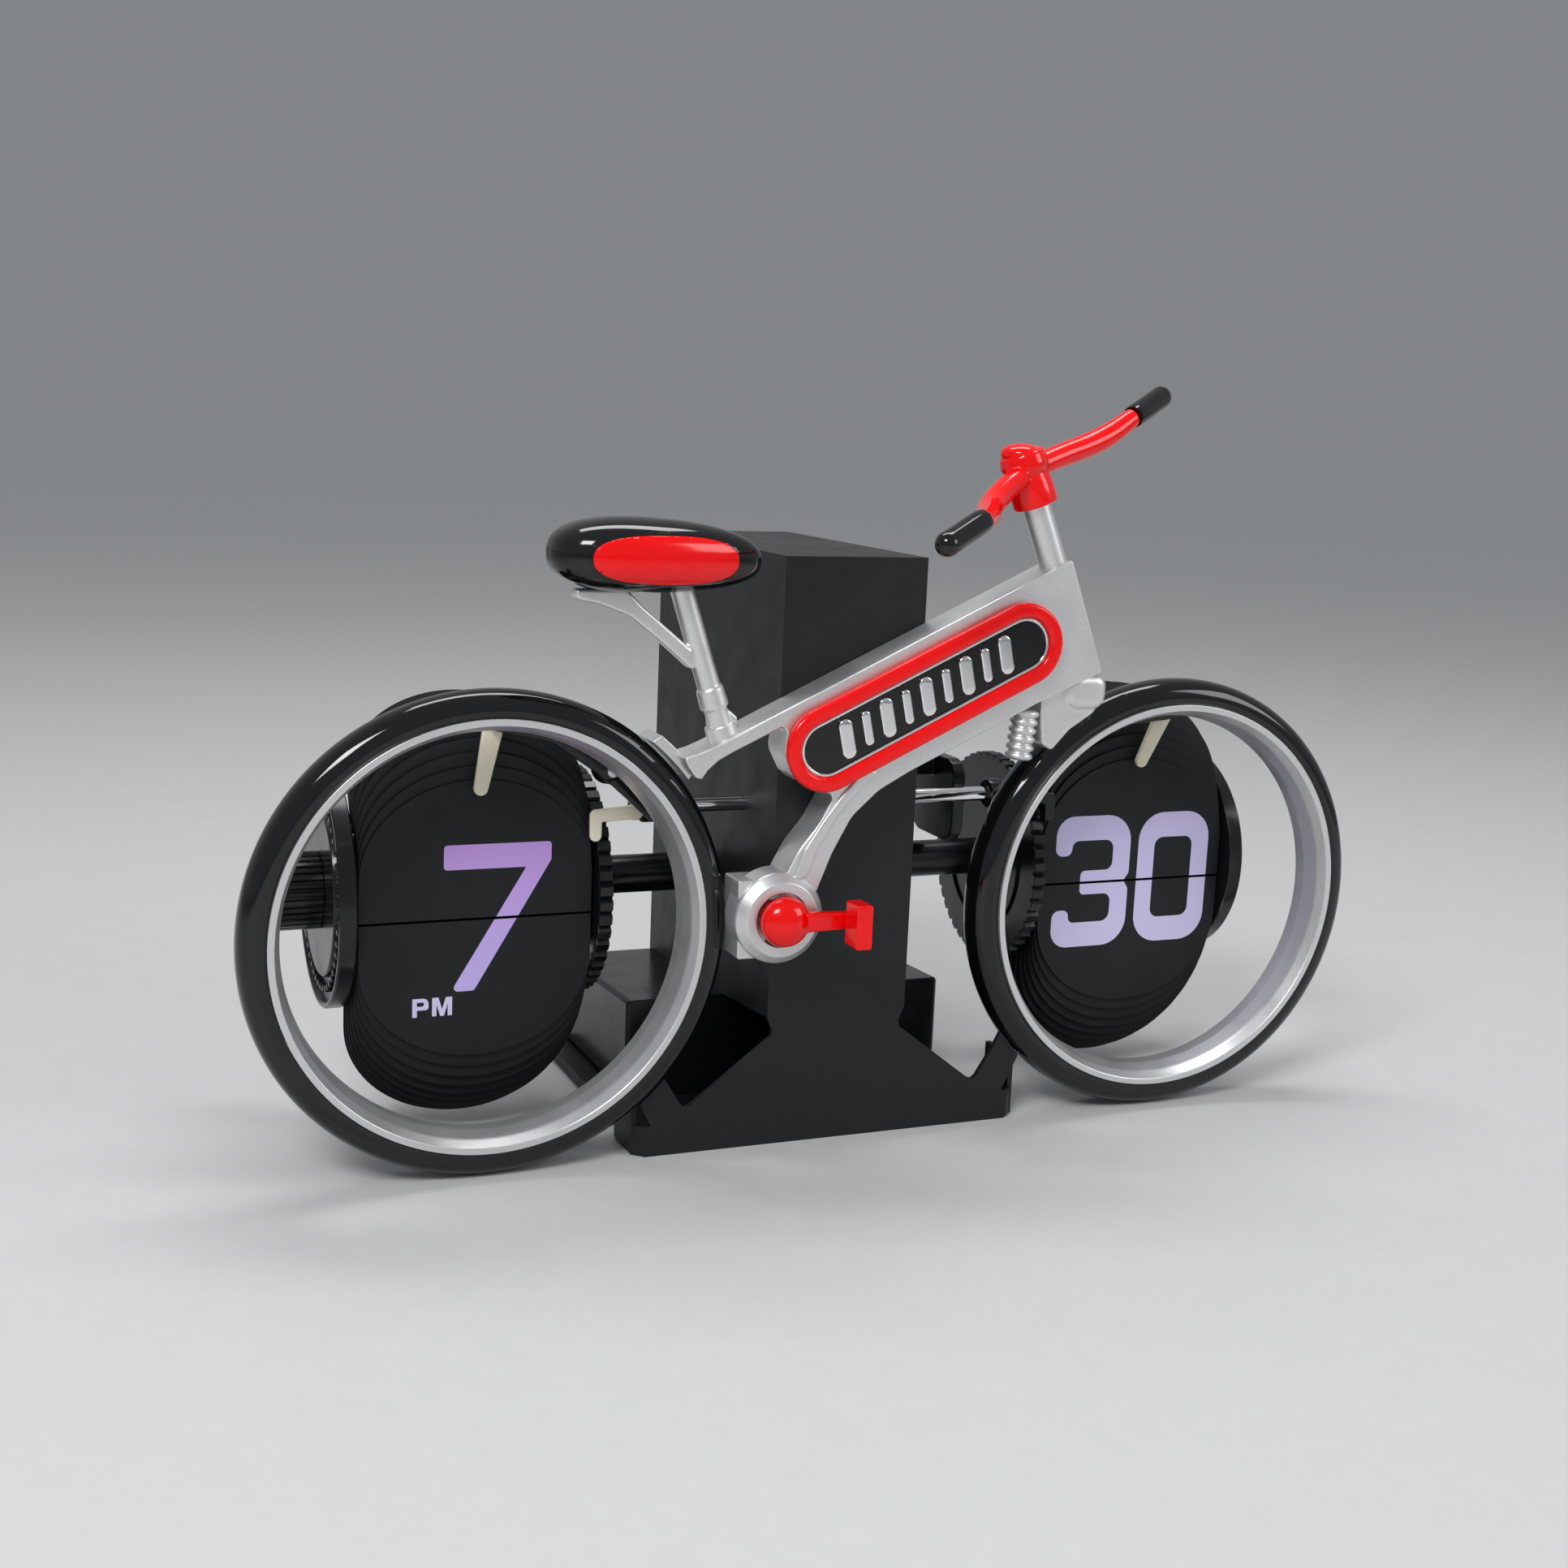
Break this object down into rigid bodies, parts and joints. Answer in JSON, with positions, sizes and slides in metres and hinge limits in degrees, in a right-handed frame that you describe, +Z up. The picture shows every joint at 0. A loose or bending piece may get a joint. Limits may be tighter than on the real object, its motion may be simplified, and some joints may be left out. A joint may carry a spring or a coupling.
{
  "type": "flip number clock",
  "caption": "Desk flip clock shaped like a bicycle: two card drums turn behind the wheel rims, carried by a sheet-metal tower with a lower case.",
  "frame": {"origin": "middle of the underside of the front foot strip, on the table plane and on the centre line of the tower", "axes": "+X along the bicycle towards its front wheel, +Y from the dials to the back, +Z up"},
  "size_m": [0.347, 0.153, 0.2224],
  "materials": {
    "stand_black": "semi-matte powder coat",
    "case_black": "glossy black",
    "battery_jacket": "printed film, plain",
    "spring_metal": "bright nickel",
    "foot_rubber": "matte",
    "brass_plate": "satin",
    "motor_steel": "brushed",
    "gear_plastic": "natural white",
    "rod_chrome": "bright chrome",
    "drum_black": "semi-gloss black",
    "tyre_black": "glossy black",
    "satin_silver": "satin silver paint",
    "gloss_red": "glossy red",
    "badge_black": "glossy black inlay",
    "badge_chrome": "bright chrome",
    "saddle_black": "glossy black",
    "grip_black": "glossy black",
    "card_black": "matte black with printed digits",
    "ivory_plastic": "ivory"
  },
  "bodies": {
    "stand": {"stand_panel": "stand_black", "tower_back": "stand_black", "lower_case": "case_black", "base_plate": "stand_black", "battery_front": "battery_jacket", "battery_rear": "battery_jacket", "contact_left": "spring_metal", "contact_right": "spring_metal", "foot_strip_front": "foot_rubber", "foot_strip_rear": "foot_rubber", "movement_plate": "brass_plate", "motor": "motor_steel", "chrome_rod": "rod_chrome", "rod_bracket": "drum_black", "hour_upper_cards": "card_black", "hour_lower_cards": "card_black", "hour_front_upper_card": "card_black", "hour_finger": "ivory_plastic", "hour_finger_arm": "drum_black", "hour_latch": "ivory_plastic", "minute_upper_cards": "card_black", "minute_lower_cards": "card_black", "minute_front_upper_card": "card_black", "minute_finger": "ivory_plastic", "minute_finger_arm": "drum_black", "minute_latch": "drum_black", "rear_tyre": "tyre_black", "rear_rim": "satin_silver", "front_tyre": "tyre_black", "front_rim": "satin_silver", "bike_frame": "satin_silver", "front_bracket": "satin_silver", "fork_sleeve": "satin_silver", "badge_ring": "gloss_red", "badge_plate": "badge_black", "badge_border": "badge_chrome", "saddle": "saddle_black", "saddle_insert": "gloss_red", "seat_post": "satin_silver"},
    "hour_drum": {"hour_axle_tube": "drum_black", "hour_inner_flange": "drum_black", "hour_outer_flange": "drum_black", "hour_knob": "drum_black"},
    "minute_drum": {"minute_axle_tube": "drum_black", "minute_inner_flange": "drum_black", "minute_outer_flange": "drum_black", "minute_knob": "drum_black", "minute_gear": "gear_plastic"},
    "reduction_shaft": {"reduction_gear": "gear_plastic"},
    "motor_shaft": {"motor_pinion": "brass_plate"},
    "hour_card": {"hour_front_lower_card": "card_black"},
    "minute_card": {"minute_front_lower_card": "card_black"},
    "steering": {"stem_tube": "satin_silver", "handlebar": "gloss_red", "grip_near": "grip_black", "grip_far": "grip_black"},
    "crank_arm": {"crank": "gloss_red"},
    "pedal_block": {"pedal": "gloss_red"},
    "door": {"battery_door": "case_black"}
  },
  "joints": [
    {"name": "minute_drum_spin", "type": "hinge", "parent": "stand", "child": "minute_drum", "pos_m": [0.1, 0.043, 0.07], "axis": [1, 0, 0], "continuous": true},
    {"name": "hour_drum_spin", "type": "hinge", "parent": "stand", "child": "hour_drum", "pos_m": [-0.1, 0.043, 0.07], "axis": [1, 0, 0], "continuous": true},
    {"name": "reduction_spin", "type": "hinge", "parent": "stand", "child": "reduction_shaft", "pos_m": [0.01, 0.043, 0.0964], "axis": [1, 0, 0], "continuous": true},
    {"name": "motor_spin", "type": "hinge", "parent": "stand", "child": "motor_shaft", "pos_m": [0.006, 0.043, 0.1195], "axis": [1, 0, 0], "continuous": true},
    {"name": "hour_card_fall", "type": "hinge", "parent": "stand", "child": "hour_card", "pos_m": [-0.1011, 0.014, 0.0662], "axis": [1, 0, 0], "range_deg": [-155, 0]},
    {"name": "minute_card_fall", "type": "hinge", "parent": "stand", "child": "minute_card", "pos_m": [0.1134, 0.014, 0.0662], "axis": [1, 0, 0], "range_deg": [-155, 0]},
    {"name": "steering_swivel", "type": "hinge", "parent": "stand", "child": "steering", "pos_m": [0.0591, -0.0167, 0.1691], "axis": [-0.3795, 0, 0.9252], "range_deg": [-18, 95]},
    {"name": "crank_spin", "type": "hinge", "parent": "stand", "child": "crank_arm", "pos_m": [-0.0248, -0.025, 0.0712], "axis": [0, 1, 0], "continuous": true},
    {"name": "pedal_spin", "type": "hinge", "parent": "crank_arm", "child": "pedal_block", "pos_m": [-0.006, -0.035, 0.0712], "axis": [0, 1, 0], "continuous": true},
    {"name": "battery_door_slide", "type": "slide", "parent": "stand", "child": "door", "axis": [0, 1, 0], "range_m": [0, 0.05]}
  ],
  "couplings": [
    {"joint": "reduction_spin", "follows": "minute_drum_spin", "ratio": -3},
    {"joint": "motor_spin", "follows": "minute_drum_spin", "ratio": 7.5}
  ]
}
